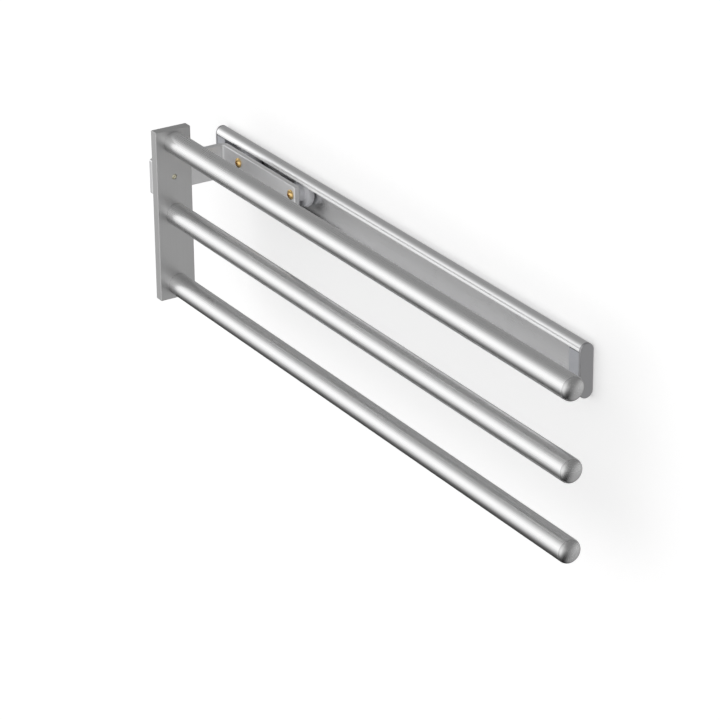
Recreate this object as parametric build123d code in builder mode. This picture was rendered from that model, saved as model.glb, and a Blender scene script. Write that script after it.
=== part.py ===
from build123d import *
import os
from math import sqrt

# Pull-out towel rail. All sizes are in millimetres.
# Origin: centre of the wall rail's back face. +X: the way the bars pull out, +Y: into the wall, +Z: up.
# The carriage is modelled pushed in, close to the rail's rear end.

# ---- driving dimensions ----

# wall rail: a C section with full-round top and bottom, open towards the room
rail_length = 386.0
rail_height = 32.0
rail_depth = 8.6
rail_wall = 1.3
slot_height = 23.0
lip_rounding = 0.45
end_plate_thickness = 1.5
end_plug_length = 9.2
end_plug_gap = 0.05
end_plug_face_gap = 0.7
plug_face_setback = 0.25
peg_diameter = 3.0
peg_length = 0.9
peg_spacing = 14.0
wall_hole_diameter = 4.2
wall_screw_head_recess = 7.6
wall_screw_head_depth = 4.2

# bars and their plate
bar_diameter = 14.0
bar_wall = 1.2
bar_length = 413.5
bar_spacing = 46.5
bar_from_wall = 50.5
middle_bar_drop = 24.5
bar_seat_depth = 1.0
bar_end_rounding = 0.35
plate_thickness = 6.0
plate_width = 24.0
plate_height = 110.0
plate_shift = 0.8
plate_face_x = -169.0

# bar end caps and bar root fixings
cap_dome_height = 3.4
cap_rim_inset = 0.25
cap_rim_height = 0.25
cap_spigot_length = 10.0
push_fit_gap = 0.03
insert_length = 18.0
bar_screw_diameter = 5.0
bar_screw_head = 9.6
bar_screw_length = 18.0

# slide bracket: one flat bar bent to an L
bracket_height = 22.0
bracket_thickness = 3.1
bracket_gap = 2.0
bend_radius = 1.35
leg_end_x = -90.2
bracket_corner = 1.0
leg_end_rounding = 0.7
arm_screw_diameter = 4.0
arm_screw_head = 7.4
arm_screw_length = 7.2
arm_screw_spacing = 14.0
plate_screw_diameter = 3.4
plate_screw_recess = 0.15
plate_screw_slot = 0.4

# rollers and their axles
roller_offset = 5.0
roller_clearance = 0.2
roller_width = 4.0
roller_bore = 4.7
roller_boss = 10.4
roller_boss_fillet = 0.9
roller_boss_chamfer = 0.4
roller_edge_rounding = 0.25
roller_recess_diameter = 9.0
roller_recess_depth = 1.1
rear_roller_x = -156.6
front_roller_x = -95.2
axle_diameter = 4.6
axle_flange = 8.4
axle_flange_thickness = 0.7
axle_side_play = 0.2
axle_screw_diameter = 3.0
axle_screw_head = 6.0
axle_screw_head_height = 1.7
axle_screw_head_rim = 0.5
thread_gap = 0.05
driver_slot_width = 0.75
driver_slot_length = 3.4
driver_slot_depth = 1.1

# ---- derived places ----

half_rail = rail_length / 2
bore_height = rail_height - 2 * rail_wall
bore_depth = rail_depth - 2 * rail_wall
channel_y = -rail_depth / 2
leg_back_y = -rail_depth - bracket_gap
leg_front_y = leg_back_y - bracket_thickness
plate_back_x = plate_face_x - plate_thickness
arm_back_x = plate_back_x - bracket_thickness
bar_y = -bar_from_wall
plate_y = bar_y - plate_shift
bar_heights = {
    "top": bar_spacing - middle_bar_drop,
    "middle": -middle_bar_drop,
    "bottom": -bar_spacing - middle_bar_drop,
}
bar_end_x = plate_face_x + bar_length
bar_bore = bar_diameter - 2 * bar_wall
bar_root_x = plate_face_x - bar_seat_depth
wall_hole_x = half_rail - end_plate_thickness - end_plug_length / 2
lower_roller_x = (rear_roller_x + front_roller_x) / 2
axles = {
    "rear": (rear_roller_x, roller_offset),
    "front": (front_roller_x, roller_offset),
    "lower": (lower_roller_x, -roller_offset),
}

# The rail's round inner ends guide the rollers, so a roller's rim is an arc about the same centre.
track_radius = bore_depth / 2
track_centre = rail_height / 2 - rail_depth / 2
rim_radius = track_radius - roller_clearance
rim_centre = track_centre - roller_offset
roller_radius = rim_centre + rim_radius
roller_front_y = channel_y - roller_width / 2
roller_back_y = channel_y + roller_width / 2


def finish(piece, label):
    """Labels a finished piece and writes it to its own file."""
    piece.part.label = label
    export_step(piece.part, f"parts/{label}.step")


def turning_plane_y(x, z):
    """Sketch plane for a piece turned about an axis along Y: x is the radius and y is the world's Y."""
    return Plane(origin=(x, 0, z), x_dir=(1, 0, 0), z_dir=(0, 0, 1))


def turning_plane_x(z):
    """Sketch plane for a piece turned about a bar's axis: x is the world's X and y is the radius."""
    return Plane(origin=(0, bar_y, z), x_dir=(1, 0, 0), z_dir=(0, 0, 1))


# ---- wall rail ----


def make_wall_rail():
    with BuildPart() as wall_rail:
        with BuildSketch(Plane.YZ) as section:
            with Locations((channel_y, 0)):
                SlotOverall(rail_height, rail_depth, rotation=90)
                SlotOverall(bore_height, bore_depth, rotation=90, mode=Mode.SUBTRACT)
            with Locations((-rail_depth, 0)):
                Rectangle(2 * rail_wall + 0.2, slot_height, mode=Mode.SUBTRACT)
            lip_corners = section.vertices().filter_by(lambda v: abs(abs(v.Z) - slot_height / 2) < 0.01)
            fillet(lip_corners, radius=lip_rounding)
        extrude(amount=half_rail - end_plate_thickness, both=True)
        with BuildSketch(Plane.XZ):
            with GridLocations(2 * wall_hole_x, 0, 2, 1):
                Circle(wall_hole_diameter / 2)
        extrude(amount=2 * rail_wall, mode=Mode.SUBTRACT)
    finish(wall_rail, "wall_rail")


def make_end_plate(side, label):
    """side is +1 for the front end of the rail and -1 for the rear end."""
    inner_x = side * (half_rail - end_plate_thickness)
    outward = Plane(origin=(inner_x, 0, 0), x_dir=(0, 1, 0), z_dir=(side, 0, 0))
    with BuildPart() as plate:
        with BuildSketch(outward):
            with Locations((channel_y, 0)):
                SlotOverall(rail_height, rail_depth, rotation=90)
        extrude(amount=end_plate_thickness)
        outer_face = plate.faces().sort_by(Axis.X)[-1 if side > 0 else 0]
        fillet(outer_face.edges(), radius=0.3)
        with BuildSketch(outward):
            with Locations((channel_y, peg_spacing / 2), (channel_y, -peg_spacing / 2)):
                Circle(peg_diameter / 2 + push_fit_gap)
        extrude(amount=peg_length + 0.1, mode=Mode.SUBTRACT)
    finish(plate, label)


def make_end_plug(side, label):
    inner_x = side * (half_rail - end_plate_thickness)
    inward = Plane(origin=(inner_x, 0, 0), x_dir=(0, 1, 0), z_dir=(-side, 0, 0))
    face_y = -rail_depth + plug_face_setback
    face_depth = channel_y - face_y
    with BuildPart() as plug:
        with BuildSketch(inward):
            with Locations((channel_y, 0)):
                SlotOverall(bore_height - 2 * end_plug_gap, bore_depth - 2 * end_plug_gap, rotation=90)
            with Locations(((face_y + channel_y) / 2, 0)):
                Rectangle(face_depth, slot_height - 2 * end_plug_face_gap)
        extrude(amount=end_plug_length)
        with BuildSketch(inward):
            with Locations((channel_y, peg_spacing / 2), (channel_y, -peg_spacing / 2)):
                Circle(peg_diameter / 2)
        extrude(amount=-peg_length)
        # blind recess over the wall screw's head
        with BuildSketch(Plane.XZ):
            with Locations((side * wall_hole_x, 0)):
                Circle(wall_screw_head_recess / 2)
        extrude(amount=rail_wall + wall_screw_head_depth, mode=Mode.SUBTRACT)
    finish(plug, label)


# ---- slide bracket, bar plate and their screws ----


def make_slide_bracket():
    plate_outer_y = plate_y - plate_width / 2
    with BuildPart() as bracket:
        with BuildSketch(Plane.XY.offset(-bracket_height / 2)) as outline:
            with BuildLine():
                Polyline(
                    (arm_back_x, plate_outer_y),
                    (plate_back_x, plate_outer_y),
                    (plate_back_x, leg_front_y),
                    (leg_end_x, leg_front_y),
                    (leg_end_x, leg_back_y),
                    (arm_back_x, leg_back_y),
                    close=True,
                )
            make_face()
            inner_corner = outline.vertices().sort_by_distance((plate_back_x, leg_front_y))[0]
            fillet(inner_corner, radius=bend_radius)
            outer_corner = outline.vertices().sort_by_distance((arm_back_x, leg_back_y))[0]
            fillet(outer_corner, radius=bend_radius + bracket_thickness)
        extrude(amount=bracket_height)
        arm_end = bracket.edges().filter_by(Axis.X).group_by(Axis.Y)[0]
        leg_end = bracket.edges().filter_by(Axis.Y).group_by(Axis.X)[-1]
        fillet(arm_end + leg_end, radius=bracket_corner)
        leg_end_face = bracket.faces().filter_by(Axis.X).sort_by(Axis.X)[-1]
        front_edge = leg_end_face.edges().sort_by(Axis.Y)[0]
        fillet(front_edge, radius=leg_end_rounding)
        with BuildSketch(Plane.XZ.offset(-leg_back_y)):
            with Locations(*axles.values()):
                Circle(axle_screw_diameter / 2 + 0.15)
        extrude(amount=bracket_thickness, mode=Mode.SUBTRACT)
        arm_back = Plane(origin=(arm_back_x, plate_y, 0), x_dir=(0, -1, 0), z_dir=(-1, 0, 0))
        hole_radius = arm_screw_diameter / 2 + 0.1
        sink_radius = arm_screw_head / 2 + 0.1
        with Locations(arm_back):
            with GridLocations(arm_screw_spacing, 0, 2, 1):
                CounterSinkHole(hole_radius, sink_radius, depth=bracket_thickness)
        with BuildSketch(Plane.YZ.offset(arm_back_x)):
            with Locations((plate_y, 0)):
                Circle(plate_screw_diameter / 2)
        extrude(amount=bracket_thickness, mode=Mode.SUBTRACT)
    finish(bracket, "slide_bracket")


def make_bar_plate():
    with BuildPart() as plate:
        with BuildSketch(Plane.YZ.offset(plate_back_x)):
            with Locations((plate_y, -middle_bar_drop)):
                Rectangle(plate_width, plate_height)
        extrude(amount=plate_thickness)
        chamfer(plate.edges(), length=0.35)
        with BuildSketch(Plane.YZ.offset(bar_root_x)):
            with Locations(*[(bar_y, height) for height in bar_heights.values()]):
                Circle(bar_diameter / 2 + push_fit_gap)
        extrude(amount=bar_seat_depth, mode=Mode.SUBTRACT)
        back_face = Plane(origin=(plate_back_x, bar_y, 0), x_dir=(0, -1, 0), z_dir=(-1, 0, 0))
        hole_radius = bar_screw_diameter / 2 + 0.1
        sink_radius = bar_screw_head / 2 + 0.1
        with Locations(back_face):
            with Locations(*[(0, height) for height in bar_heights.values()]):
                CounterSinkHole(hole_radius, sink_radius, depth=plate_thickness)
        with BuildSketch(Plane.YZ.offset(plate_back_x)):
            with Locations((plate_y, 0)):
                with GridLocations(arm_screw_spacing, 0, 2, 1):
                    Circle(arm_screw_diameter / 2)
        extrude(amount=arm_screw_length - bracket_thickness + 0.4, mode=Mode.SUBTRACT)
        with BuildSketch(Plane.YZ.offset(plate_back_x)):
            with Locations((plate_y, 0)):
                Circle(plate_screw_diameter / 2)
        extrude(amount=plate_thickness, mode=Mode.SUBTRACT)
    finish(plate, "bar_plate")


def make_plate_screw():
    """Slotted headless screw, seen in the plate's face."""
    screw_length = plate_thickness + bracket_thickness - plate_screw_recess - 0.3
    with BuildPart() as screw:
        with BuildSketch(Plane.YZ.offset(arm_back_x + 0.3)):
            with Locations((plate_y, 0)):
                Circle(plate_screw_diameter / 2 - thread_gap)
        extrude(amount=screw_length)
        slotted_face = screw.faces().sort_by(Axis.X)[-1]
        chamfer(slotted_face.edges(), length=0.4)
        with BuildSketch(Plane.YZ.offset(plate_face_x - plate_screw_recess)):
            with Locations((plate_y, 0)):
                Rectangle(plate_screw_diameter, plate_screw_slot, rotation=35)
        extrude(amount=-2 * plate_screw_slot, mode=Mode.SUBTRACT)
    finish(screw, "plate_screw")


def make_arm_screws():
    head_height = (arm_screw_head - arm_screw_diameter) / 2
    shank = arm_screw_diameter / 2 - thread_gap
    with BuildPart() as screws:
        for side in (1, -1):
            axis_y = plate_y + side * arm_screw_spacing / 2
            plane = Plane(origin=(arm_back_x, axis_y, 0), x_dir=(1, 0, 0), z_dir=(0, 0, 1))
            with BuildSketch(plane):
                with BuildLine():
                    Polyline(
                        (0.1, 0),
                        (0.1, arm_screw_head / 2 - 0.2),
                        (0.1 + head_height, shank),
                        (arm_screw_length, shank),
                        (arm_screw_length, 0),
                        close=True,
                    )
                make_face()
            revolve(axis=Axis((arm_back_x, axis_y, 0), (1, 0, 0)))
            with BuildSketch(Plane(origin=(arm_back_x, axis_y, 0), x_dir=(0, 1, 0), z_dir=(1, 0, 0))):
                RegularPolygon(1.3, 6)
            extrude(amount=1.6, mode=Mode.SUBTRACT)
    finish(screws, "arm_screws")


# ---- bars ----


def make_bar(name, height):
    with BuildPart() as bar:
        with BuildSketch(Plane.YZ.offset(bar_root_x)):
            with Locations((bar_y, height)):
                Circle(bar_diameter / 2)
                Circle(bar_bore / 2, mode=Mode.SUBTRACT)
        extrude(amount=bar_length + bar_seat_depth)
        free_end = bar.faces().sort_by(Axis.X)[-1]
        outer_edge = free_end.edges().sort_by(SortBy.LENGTH)[-1]
        fillet(outer_edge, radius=bar_end_rounding)
    finish(bar, f"{name}_bar")


def make_bar_insert(name, height):
    thread = bar_screw_diameter / 2
    with BuildPart() as insert:
        with BuildSketch(Plane.YZ.offset(bar_root_x + 0.1)):
            with Locations((bar_y, height)):
                Circle(bar_bore / 2 - push_fit_gap)
                Circle(thread, mode=Mode.SUBTRACT)
        extrude(amount=insert_length)
        chamfer(insert.edges().filter_by(GeomType.CIRCLE).group_by(SortBy.LENGTH)[-1], length=0.4)
    finish(insert, f"{name}_bar_insert")


def make_bar_screw(name, height):
    head_height = (bar_screw_head - bar_screw_diameter) / 2
    shank = bar_screw_diameter / 2 - thread_gap
    with BuildPart() as screw:
        with BuildSketch(turning_plane_x(height)):
            with BuildLine():
                Polyline(
                    (plate_back_x + 0.1, 0),
                    (plate_back_x + 0.1, bar_screw_head / 2 - 0.2),
                    (plate_back_x + 0.1 + head_height, shank),
                    (plate_back_x + bar_screw_length, shank),
                    (plate_back_x + bar_screw_length, 0),
                    close=True,
                )
            make_face()
        revolve(axis=Axis((0, bar_y, height), (1, 0, 0)))
        with BuildSketch(Plane(origin=(plate_back_x, bar_y, height), x_dir=(0, 1, 0), z_dir=(1, 0, 0))):
            RegularPolygon(1.7, 6)
        extrude(amount=2.4, mode=Mode.SUBTRACT)
    finish(screw, f"{name}_bar_screw")


def make_bar_cap(name, height):
    rim = bar_diameter / 2 - cap_rim_inset
    spigot = bar_bore / 2 - push_fit_gap
    shoulder_x = bar_end_x + cap_rim_height
    with BuildPart() as cap:
        with BuildSketch(turning_plane_x(height)):
            with BuildLine():
                Polyline(
                    (bar_end_x + cap_dome_height, 0),
                    (bar_end_x - cap_spigot_length, 0),
                    (bar_end_x - cap_spigot_length, spigot - 0.5),
                    (bar_end_x - cap_spigot_length + 1.0, spigot),
                    (bar_end_x, spigot),
                    (bar_end_x, rim),
                    (shoulder_x, rim),
                )
                EllipticalCenterArc((shoulder_x, 0), cap_dome_height - cap_rim_height, rim, arc_size=90)
            make_face()
        revolve(axis=Axis((0, bar_y, height), (1, 0, 0)))
    finish(cap, f"{name}_bar_cap")


# ---- rollers and axles ----


def make_roller(name, x, z):
    rim_arc = sqrt(rim_radius**2 - (roller_width / 2) ** 2)
    boss = roller_boss / 2
    boss_front_y = leg_back_y + axle_side_play
    with BuildPart() as roller:
        with BuildSketch(turning_plane_y(x, z)):
            with BuildLine():
                Polyline(
                    (rim_centre + rim_arc, roller_back_y),
                    (roller_recess_diameter / 2, roller_back_y),
                    (roller_recess_diameter / 2, roller_back_y - roller_recess_depth),
                    (roller_bore / 2, roller_back_y - roller_recess_depth),
                    (roller_bore / 2, boss_front_y),
                    (boss - roller_boss_chamfer, boss_front_y),
                    (boss, boss_front_y + roller_boss_chamfer),
                    (boss, roller_front_y - roller_boss_fillet),
                )
                RadiusArc(
                    (boss, roller_front_y - roller_boss_fillet),
                    (boss + roller_boss_fillet, roller_front_y),
                    roller_boss_fillet,
                )
                Line((boss + roller_boss_fillet, roller_front_y), (rim_centre + rim_arc, roller_front_y))
                ThreePointArc(
                    (rim_centre + rim_arc, roller_front_y),
                    (roller_radius, channel_y),
                    (rim_centre + rim_arc, roller_back_y),
                )
            make_face()
        revolve(axis=Axis((x, 0, z), (0, 1, 0)))
        rim_edges = roller.edges().filter_by(GeomType.CIRCLE).group_by(SortBy.LENGTH)[-1]
        fillet(rim_edges, radius=roller_edge_rounding)
    finish(roller, f"{name}_roller")


def make_axle_sleeve(name, x, z):
    recess_y = roller_back_y - roller_recess_depth
    flange_y = recess_y + axle_side_play
    thread_end_y = flange_y - 0.6
    thread = axle_screw_diameter / 2
    with BuildPart() as sleeve:
        with BuildSketch(turning_plane_y(x, z)):
            with BuildLine():
                Polyline(
                    (thread, leg_back_y),
                    (axle_diameter / 2, leg_back_y),
                    (axle_diameter / 2, flange_y),
                    (axle_flange / 2, flange_y),
                    (axle_flange / 2, flange_y + axle_flange_thickness),
                    (0, flange_y + axle_flange_thickness),
                    (0, thread_end_y),
                    (thread, thread_end_y),
                    close=True,
                )
            make_face()
        revolve(axis=Axis((x, 0, z), (0, 1, 0)))
    finish(sleeve, f"{name}_axle_sleeve")


def dome_radius(half_width, rise):
    """Radius of the sphere whose cap has this half width and rise."""
    return (half_width**2 + rise**2) / (2 * rise)


def make_axle_screw(name, x, z):
    shank = axle_screw_diameter / 2 - thread_gap
    head = axle_screw_head / 2
    top_y = leg_front_y - axle_screw_head_height
    rim_y = leg_front_y - axle_screw_head_rim
    tip_y = roller_front_y + 0.6
    with BuildPart() as screw:
        with BuildSketch(turning_plane_y(x, z)):
            with BuildLine():
                Polyline(
                    (0, top_y),
                    (0, tip_y),
                    (shank, tip_y),
                    (shank, leg_front_y),
                    (head, leg_front_y),
                    (head, rim_y),
                )
                RadiusArc((head, rim_y), (0, top_y), dome_radius(head, rim_y - top_y))
            make_face()
        revolve(axis=Axis((x, 0, z), (0, 1, 0)))
        with BuildSketch(Plane.XZ.offset(-top_y)):
            with Locations((x, z)):
                Rectangle(driver_slot_length, driver_slot_width)
                Rectangle(driver_slot_width, driver_slot_length)
        extrude(amount=-driver_slot_depth, mode=Mode.SUBTRACT)
    finish(screw, f"{name}_axle_screw")


os.makedirs("parts", exist_ok=True)
make_wall_rail()
for end_side, end_name in ((1, "front"), (-1, "rear")):
    make_end_plate(end_side, f"{end_name}_end_plate")
    make_end_plug(end_side, f"{end_name}_end_plug")
make_slide_bracket()
make_bar_plate()
make_plate_screw()
make_arm_screws()
for bar_name, bar_height in bar_heights.items():
    make_bar(bar_name, bar_height)
    make_bar_insert(bar_name, bar_height)
    make_bar_screw(bar_name, bar_height)
    make_bar_cap(bar_name, bar_height)
for axle_name, (axle_x, axle_z) in axles.items():
    make_roller(axle_name, axle_x, axle_z)
    make_axle_sleeve(axle_name, axle_x, axle_z)
    make_axle_screw(axle_name, axle_x, axle_z)
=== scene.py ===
import math

import bpy
from mathutils import Matrix, Vector


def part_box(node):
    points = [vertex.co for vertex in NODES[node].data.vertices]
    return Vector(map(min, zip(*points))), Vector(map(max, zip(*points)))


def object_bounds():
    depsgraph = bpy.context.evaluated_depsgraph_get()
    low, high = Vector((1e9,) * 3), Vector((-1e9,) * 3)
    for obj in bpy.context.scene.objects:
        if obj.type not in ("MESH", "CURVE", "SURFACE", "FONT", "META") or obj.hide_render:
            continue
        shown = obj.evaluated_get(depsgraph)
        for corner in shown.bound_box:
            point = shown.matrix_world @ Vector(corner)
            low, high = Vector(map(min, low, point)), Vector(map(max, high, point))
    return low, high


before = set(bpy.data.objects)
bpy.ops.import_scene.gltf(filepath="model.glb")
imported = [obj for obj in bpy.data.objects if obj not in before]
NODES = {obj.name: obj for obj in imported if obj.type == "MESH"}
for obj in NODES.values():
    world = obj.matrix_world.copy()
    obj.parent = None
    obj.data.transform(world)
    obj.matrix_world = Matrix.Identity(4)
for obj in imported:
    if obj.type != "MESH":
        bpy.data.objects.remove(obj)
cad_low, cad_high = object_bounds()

# Pull-out towel rail of satin anodised aluminium, on a white wall. In metres: +X is along the bars, and +Y is
# into the wall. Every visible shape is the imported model's own. This script gives each piece its material, and
# adds the wall, the floor, the light and the camera.

BAR_NAMES = ("top", "middle", "bottom")
AXLE_NAMES = ("rear", "front", "lower")
END_NAMES = ("rear", "front")


# ---- node helpers ----

# Noise seldom leaves this part of 0..1, so it is this part that a band spreads over its own range.
NOISE_LOW = 0.25
NOISE_HIGH = 0.75


class Shader:
    """A material's node tree, built from the left to the right."""

    def __init__(self, name):
        self.material = bpy.data.materials.new(name)
        self.material.use_nodes = True
        self.tree = self.material.node_tree
        self.tree.nodes.clear()
        self.output = self.tree.nodes.new("ShaderNodeOutputMaterial")
        self.surface = self.tree.nodes.new("ShaderNodeBsdfPrincipled")
        self.link(self.surface.outputs["BSDF"], self.output.inputs["Surface"])
        coordinates = self.tree.nodes.new("ShaderNodeTexCoord")
        self.position = coordinates.outputs["Object"]

    def link(self, source, target):
        self.tree.links.new(source, target)

    def noise(self, scale, stretch=(1.0, 1.0, 1.0), detail=3.0, roughness=0.55):
        """Noise over the object's coordinates; a large stretch makes fine detail along that axis."""
        mapping = self.tree.nodes.new("ShaderNodeMapping")
        mapping.inputs["Scale"].default_value = stretch
        self.link(self.position, mapping.inputs["Vector"])
        node = self.tree.nodes.new("ShaderNodeTexNoise")
        node.inputs["Scale"].default_value = scale
        node.inputs["Detail"].default_value = detail
        node.inputs["Roughness"].default_value = roughness
        self.link(mapping.outputs["Vector"], node.inputs["Vector"])
        return node.outputs["Fac"]

    def band(self, noise, middle, spread):
        """Turns noise into a value within spread of middle."""
        node = self.tree.nodes.new("ShaderNodeMapRange")
        node.inputs["From Min"].default_value = NOISE_LOW
        node.inputs["From Max"].default_value = NOISE_HIGH
        node.inputs["To Min"].default_value = middle - spread
        node.inputs["To Max"].default_value = middle + spread
        self.link(noise, node.inputs["Value"])
        return node.outputs["Result"]

    def total(self, first, second):
        node = self.tree.nodes.new("ShaderNodeMath")
        node.operation = "ADD"
        self.link(first, node.inputs[0])
        self.link(second, node.inputs[1])
        return node.outputs[0]

    def colour(self, noise, dark, light):
        node = self.tree.nodes.new("ShaderNodeMix")
        node.data_type = "RGBA"
        node.inputs["A"].default_value = (*dark, 1.0)
        node.inputs["B"].default_value = (*light, 1.0)
        self.link(noise, node.inputs["Factor"])
        self.link(node.outputs["Result"], self.surface.inputs["Base Color"])

    def bump(self, height, depth):
        node = self.tree.nodes.new("ShaderNodeBump")
        node.inputs["Distance"].default_value = depth
        node.inputs["Strength"].default_value = 1.0
        self.link(height, node.inputs["Height"])
        self.link(node.outputs["Normal"], self.surface.inputs["Normal"])


# ---- materials ----

# Noise scales are in features per metre, and depths are in metres.
ALONG_X = (14.0, 5200.0, 5200.0)
ALONG_Z = (5200.0, 5200.0, 14.0)
EVEN = (2600.0, 2600.0, 2600.0)
TURNED_ABOUT_X = (300.0, 2400.0, 2400.0)
TURNED_ABOUT_Y = (2400.0, 300.0, 2400.0)

GRAIN_DEPTH = 0.000004
BAR_GRAIN_DEPTH = 0.000001
GRAIN_DARK = 0.93
GRAIN_LIGHT = 1.05
GRAIN_ROUGHNESS = 0.02
ANODISED_CLOUDS = 55.0
ANODISED_CLOUD_ROUGHNESS = 0.015
ANODISED_SPECKLE = 5200.0

MOULD_CLOUDS = 220.0
MOULD_GRAIN = 4200.0
MOULD_GRAIN_DEPTH = 0.00001
MOULD_ROUGHNESS = 0.04

TARNISH_CLOUDS = 900.0
TURNING_DEPTH = 0.000006
TURNING_ROUGHNESS = 0.04


def anodised_aluminium(name, tone, roughness, grain, grain_depth=GRAIN_DEPTH):
    """Satin anodised aluminium: lines along the axis where grain is small, and a faint cloudiness."""
    shader = Shader(name)
    shader.surface.inputs["Metallic"].default_value = 1.0
    lines = shader.noise(1.0, grain, detail=2.0, roughness=0.6)
    clouds = shader.noise(ANODISED_CLOUDS)
    speckle = shader.noise(ANODISED_SPECKLE, detail=1.0)
    dark = tuple(channel * GRAIN_DARK for channel in tone)
    light = tuple(min(channel * GRAIN_LIGHT, 1.0) for channel in tone)
    shader.colour(lines, dark, light)
    clouded = shader.band(clouds, roughness, ANODISED_CLOUD_ROUGHNESS)
    lined = shader.band(lines, 0.0, GRAIN_ROUGHNESS)
    shader.link(shader.total(clouded, lined), shader.surface.inputs["Roughness"])
    shader.bump(shader.total(lines, speckle), grain_depth)
    return shader.material


def moulded_plastic(name, dark, light, roughness):
    """Satin moulded plastic, slightly clouded, with a fine even grain."""
    shader = Shader(name)
    clouds = shader.noise(MOULD_CLOUDS)
    grain = shader.noise(MOULD_GRAIN, detail=1.0)
    shader.colour(clouds, dark, light)
    shader.link(shader.band(clouds, roughness, MOULD_ROUGHNESS), shader.surface.inputs["Roughness"])
    shader.bump(grain, MOULD_GRAIN_DEPTH)
    return shader.material


def turned_metal(name, dark, light, roughness, turning):
    """Bright turned metal, with fine turning marks and a little uneven tarnish."""
    shader = Shader(name)
    shader.surface.inputs["Metallic"].default_value = 1.0
    marks = shader.noise(1.0, turning, detail=2.0)
    tarnish = shader.noise(TARNISH_CLOUDS)
    shader.colour(tarnish, dark, light)
    shader.link(shader.band(marks, roughness, TURNING_ROUGHNESS), shader.surface.inputs["Roughness"])
    shader.bump(marks, TURNING_DEPTH)
    return shader.material


def every(names, kind):
    return [f"{name}_{kind}" for name in names]


def paint(material, node_names):
    for node_name in node_names:
        mesh = NODES[node_name].data
        mesh.materials.clear()
        mesh.materials.append(material)
        NODES[node_name].material_slots[0].material = material


def dress_object():
    bar = anodised_aluminium("bar_aluminium", (0.80, 0.80, 0.80), 0.28, ALONG_X, BAR_GRAIN_DEPTH)
    cap = anodised_aluminium("cap_aluminium", (0.62, 0.62, 0.62), 0.26, EVEN)
    rail = anodised_aluminium("rail_aluminium", (0.90, 0.90, 0.905), 0.29, ALONG_X)
    # The end plates are darker than the rail. This gives their faces their own grey, and is painted shade for
    # the dark line round the rail's ends.
    end_plate = anodised_aluminium("end_plate_aluminium", (0.46, 0.46, 0.47), 0.40, EVEN)
    bar_plate = anodised_aluminium("plate_aluminium", (0.64, 0.64, 0.64), 0.38, ALONG_Z)
    bracket = anodised_aluminium("bracket_aluminium", (0.88, 0.88, 0.885), 0.40, ALONG_X)
    plug = moulded_plastic("plug_plastic", (0.46, 0.47, 0.50), (0.54, 0.55, 0.58), 0.42)
    # The rollers are a light grey rather than the white of their plastic. This is painted shade, which darkens
    # them and the void under the rail's lips.
    roller = moulded_plastic("roller_plastic", (0.70, 0.705, 0.73), (0.76, 0.765, 0.79), 0.40)
    brass = turned_metal("brass", (0.62, 0.40, 0.14), (0.90, 0.66, 0.31), 0.20, TURNED_ABOUT_Y)
    pale_brass = turned_metal("pale_brass", (0.78, 0.75, 0.58), (0.95, 0.92, 0.76), 0.32, TURNED_ABOUT_X)
    steel = turned_metal("zinc_plated_steel", (0.42, 0.42, 0.43), (0.60, 0.60, 0.61), 0.28, TURNED_ABOUT_X)
    for material, node_names in (
        (bar, every(BAR_NAMES, "bar")),
        (cap, every(BAR_NAMES, "bar_cap")),
        (rail, ["wall_rail"]),
        (end_plate, every(END_NAMES, "end_plate")),
        (bar_plate, ["bar_plate"]),
        (bracket, ["slide_bracket"]),
        (plug, every(END_NAMES, "end_plug")),
        (roller, every(AXLE_NAMES, "roller")),
        (brass, every(AXLE_NAMES, "axle_screw")),
        (pale_brass, ["plate_screw"]),
        (steel, ["arm_screws"]),
        (steel, every(BAR_NAMES, "bar_screw")),
        (steel, every(BAR_NAMES, "bar_insert")),
        (steel, every(AXLE_NAMES, "axle_sleeve")),
    ):
        paint(material, node_names)


# ---- wall and floor ----

WALL_GAP = 0.0004
WALL_WIDTH = 3.2
WALL_HEIGHT = 2.4
WALL_TONE = (0.90, 0.90, 0.90)
WALL_GLOW = 0.33
FLOOR_DROP = 0.62
FLOOR_REACH = 3.0
FLOOR_TONE = (0.86, 0.86, 0.86)
FLOOR_GLOW = 0.5
EMULSION_CLOUDS = 9.0
EMULSION_SHADE = 0.995
EMULSION_ROUGHNESS = 0.9
EMULSION_SPECULAR = 0.1


def emulsion(name, tone, glow, one_sided=False):
    """Matt white paint, faintly clouded and lifted by a glow. One-sided, it is clear from behind."""
    shader = Shader(name)
    clouds = shader.noise(EMULSION_CLOUDS)
    shader.colour(clouds, tuple(channel * EMULSION_SHADE for channel in tone), tone)
    shader.surface.inputs["Roughness"].default_value = EMULSION_ROUGHNESS
    shader.surface.inputs["Specular IOR Level"].default_value = EMULSION_SPECULAR
    shader.surface.inputs["Emission Color"].default_value = (1.0, 1.0, 1.0, 1.0)
    shader.surface.inputs["Emission Strength"].default_value = glow
    if one_sided:
        geometry = shader.tree.nodes.new("ShaderNodeNewGeometry")
        clear = shader.tree.nodes.new("ShaderNodeBsdfTransparent")
        chooser = shader.tree.nodes.new("ShaderNodeMixShader")
        shader.link(geometry.outputs["Backfacing"], chooser.inputs["Fac"])
        shader.link(shader.surface.outputs["BSDF"], chooser.inputs[1])
        shader.link(clear.outputs["BSDF"], chooser.inputs[2])
        shader.link(chooser.outputs["Shader"], shader.output.inputs["Surface"])
    return shader.material


def add_sheet(name, corners, material):
    """A flat part of the stage. It is seen and takes shadows, and it neither lights nor shades the object."""
    mesh = bpy.data.meshes.new(name)
    mesh.from_pydata(corners, [], [tuple(range(len(corners)))])
    mesh.materials.append(material)
    sheet = bpy.data.objects.new(name, mesh)
    bpy.context.scene.collection.objects.link(sheet)
    sheet.visible_shadow = False
    sheet.visible_diffuse = False
    sheet.visible_glossy = False


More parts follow.
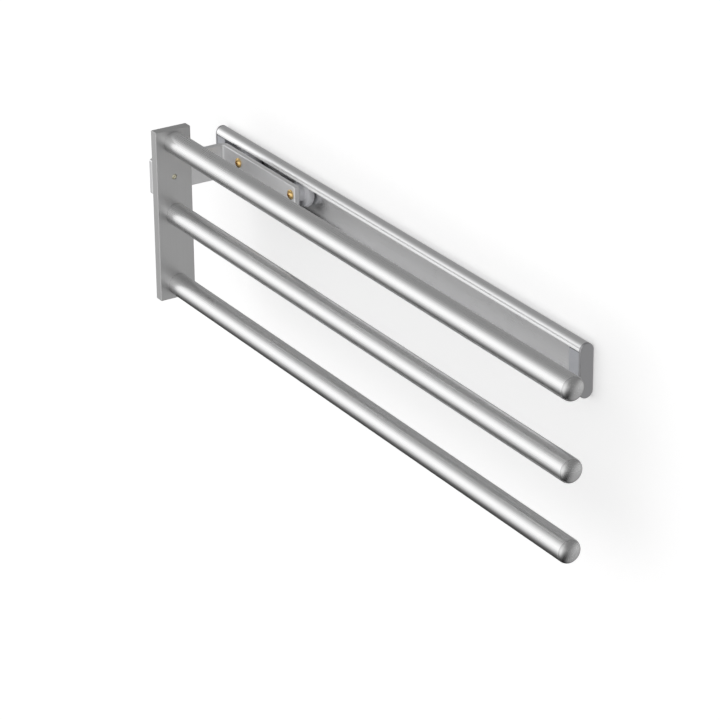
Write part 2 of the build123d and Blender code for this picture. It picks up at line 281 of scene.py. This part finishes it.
def build_stage():
    half = WALL_WIDTH / 2
    rail_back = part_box("wall_rail")[1].y
    wall_y = rail_back + WALL_GAP
    floor_z = cad_low.z - FLOOR_DROP
    top_z = floor_z + WALL_HEIGHT
    add_sheet(
        "wall",
        [(-half, wall_y, floor_z), (half, wall_y, floor_z), (half, wall_y, top_z), (-half, wall_y, top_z)],
        emulsion("wall_paint", WALL_TONE, WALL_GLOW, one_sided=True),
    )
    add_sheet(
        "floor",
        [
            (-half, -FLOOR_REACH, floor_z),
            (half, -FLOOR_REACH, floor_z),
            (half, FLOOR_REACH, floor_z),
            (-half, FLOOR_REACH, floor_z),
        ],
        emulsion("floor_paint", FLOOR_TONE, FLOOR_GLOW),
    )


# ---- light ----

# The studio is all in the world: a tall soft box in front, a white card low behind, and a dim room that is
# darkest towards the ground. The soft box is strongest at SOFTBOX_ANGLE, measured about the bars' axis and
# upwards from straight out of the wall. Towards +X it fades, from full at FADE_START to none at FADE_END.
SOFTBOX_ANGLE = math.radians(9.0)
SOFTBOX_SPREAD = math.radians(46.0)
SOFTBOX_SHARPNESS = 2.3
SOFTBOX_RADIANCE = 0.97
SOFTBOX_FADE_START = 0.45
SOFTBOX_FADE_END = 1.3
CARD_DIRECTION = (0.35, 0.75, -0.56)
CARD_EDGE = 0.55
CARD_MIDDLE = 1.0
CARD_RADIANCE = 0.5
# From the ground, 0, to overhead, 1: place and radiance.
ROOM_GLOW = ((0.0, 0.01), (0.2, 0.05), (0.38, 0.27), (0.55, 0.33), (0.8, 0.30), (1.0, 0.34))
BACKDROP_WHITE = 0.95


def build_light():
    world = bpy.data.worlds.new("studio")
    bpy.context.scene.world = world
    world.use_nodes = True
    tree = world.node_tree
    link = tree.links.new

    def math_node(operation, first, second=None):
        node = tree.nodes.new("ShaderNodeMath")
        node.operation = operation
        for socket, value in zip(node.inputs, (first, second)):
            if isinstance(value, (int, float)):
                socket.default_value = value
            elif value is not None:
                link(value, socket)
        return node.outputs[0]

    def smooth_rise(value, start, end, top):
        """Nothing at start, and top at end."""
        node = tree.nodes.new("ShaderNodeMapRange")
        node.interpolation_type = "SMOOTHSTEP"
        node.inputs["From Min"].default_value = start
        node.inputs["From Max"].default_value = end
        node.inputs["To Max"].default_value = top
        link(value, node.inputs["Value"])
        return node.outputs["Result"]

    coordinates = tree.nodes.new("ShaderNodeTexCoord")
    split = tree.nodes.new("ShaderNodeSeparateXYZ")
    link(coordinates.outputs["Generated"], split.inputs["Vector"])
    x, y, z = (split.outputs[axis] for axis in "XYZ")

    angle = math_node("ARCTAN2", z, math_node("MULTIPLY", y, -1.0))
    offset = math_node("ABSOLUTE", math_node("SUBTRACT", angle, SOFTBOX_ANGLE))
    reach = math_node("POWER", math_node("DIVIDE", offset, SOFTBOX_SPREAD), SOFTBOX_SHARPNESS)
    across = math_node("EXPONENT", math_node("MULTIPLY", reach, -1.0))
    along = smooth_rise(x, SOFTBOX_FADE_END, SOFTBOX_FADE_START, 1.0)
    soft_box = math_node("MULTIPLY", math_node("MULTIPLY", across, along), SOFTBOX_RADIANCE)

    facing = tree.nodes.new("ShaderNodeVectorMath")
    facing.operation = "DOT_PRODUCT"
    facing.inputs[1].default_value = CARD_DIRECTION
    link(coordinates.outputs["Generated"], facing.inputs[0])
    card = smooth_rise(facing.outputs["Value"], CARD_EDGE, CARD_MIDDLE, CARD_RADIANCE)

    room = tree.nodes.new("ShaderNodeValToRGB")
    steps = room.color_ramp.elements
    while len(steps) < len(ROOM_GLOW):
        steps.new(0.5)
    for step, (place, level) in zip(steps, ROOM_GLOW):
        step.position = place
        step.color = (level, level, level, 1.0)
    link(math_node("MULTIPLY", math_node("ADD", z, 1.0), 0.5), room.inputs["Fac"])

    glow = tree.nodes["Background"]
    glow.inputs["Color"].default_value = (1.0, 1.0, 1.0, 1.0)
    lamps = math_node("ADD", soft_box, card)
    link(math_node("ADD", lamps, room.outputs["Color"]), glow.inputs["Strength"])

    # The camera sees a plain white where it looks past the wall and the floor.
    backdrop = tree.nodes.new("ShaderNodeBackground")
    backdrop.inputs["Color"].default_value = (BACKDROP_WHITE, BACKDROP_WHITE, BACKDROP_WHITE, 1.0)
    path = tree.nodes.new("ShaderNodeLightPath")
    chooser = tree.nodes.new("ShaderNodeMixShader")
    link(path.outputs["Is Camera Ray"], chooser.inputs["Fac"])
    link(glow.outputs["Background"], chooser.inputs[1])
    link(backdrop.outputs["Background"], chooser.inputs[2])
    link(chooser.outputs["Shader"], tree.nodes["World Output"].inputs["Surface"])


# ---- camera ----

CAMERA_PLACE = (1.47874, -0.94162, 0.73991)
CAMERA_AZIMUTH = math.radians(58.2134)
CAMERA_ELEVATION = math.radians(24.7774)
CAMERA_ROLL = math.radians(-0.4866)
CAMERA_LENS = 166.08
CAMERA_SENSOR = 36.0
CAMERA_NEAREST = 0.05
CAMERA_FURTHEST = 20.0


def build_camera():
    camera = bpy.data.cameras.new("camera")
    camera.sensor_width = CAMERA_SENSOR
    camera.lens = CAMERA_LENS
    camera.clip_start = CAMERA_NEAREST
    camera.clip_end = CAMERA_FURTHEST
    holder = bpy.data.objects.new("camera", camera)
    bpy.context.scene.collection.objects.link(holder)
    level = Vector((math.cos(CAMERA_AZIMUTH), math.sin(CAMERA_AZIMUTH), 0.0))
    ahead = Vector(
        (
            -math.sin(CAMERA_AZIMUTH) * math.cos(CAMERA_ELEVATION),
            math.cos(CAMERA_AZIMUTH) * math.cos(CAMERA_ELEVATION),
            -math.sin(CAMERA_ELEVATION),
        )
    )
    upright = level.cross(ahead)
    right = math.cos(CAMERA_ROLL) * level + math.sin(CAMERA_ROLL) * upright
    up = math.cos(CAMERA_ROLL) * upright - math.sin(CAMERA_ROLL) * level
    axes = Matrix((right, up, -ahead)).transposed()
    holder.matrix_world = Matrix.Translation(CAMERA_PLACE) @ axes.to_4x4()
    bpy.context.scene.camera = holder


bpy.context.scene.view_settings.view_transform = "Standard"
dress_object()
build_stage()
build_light()
build_camera()
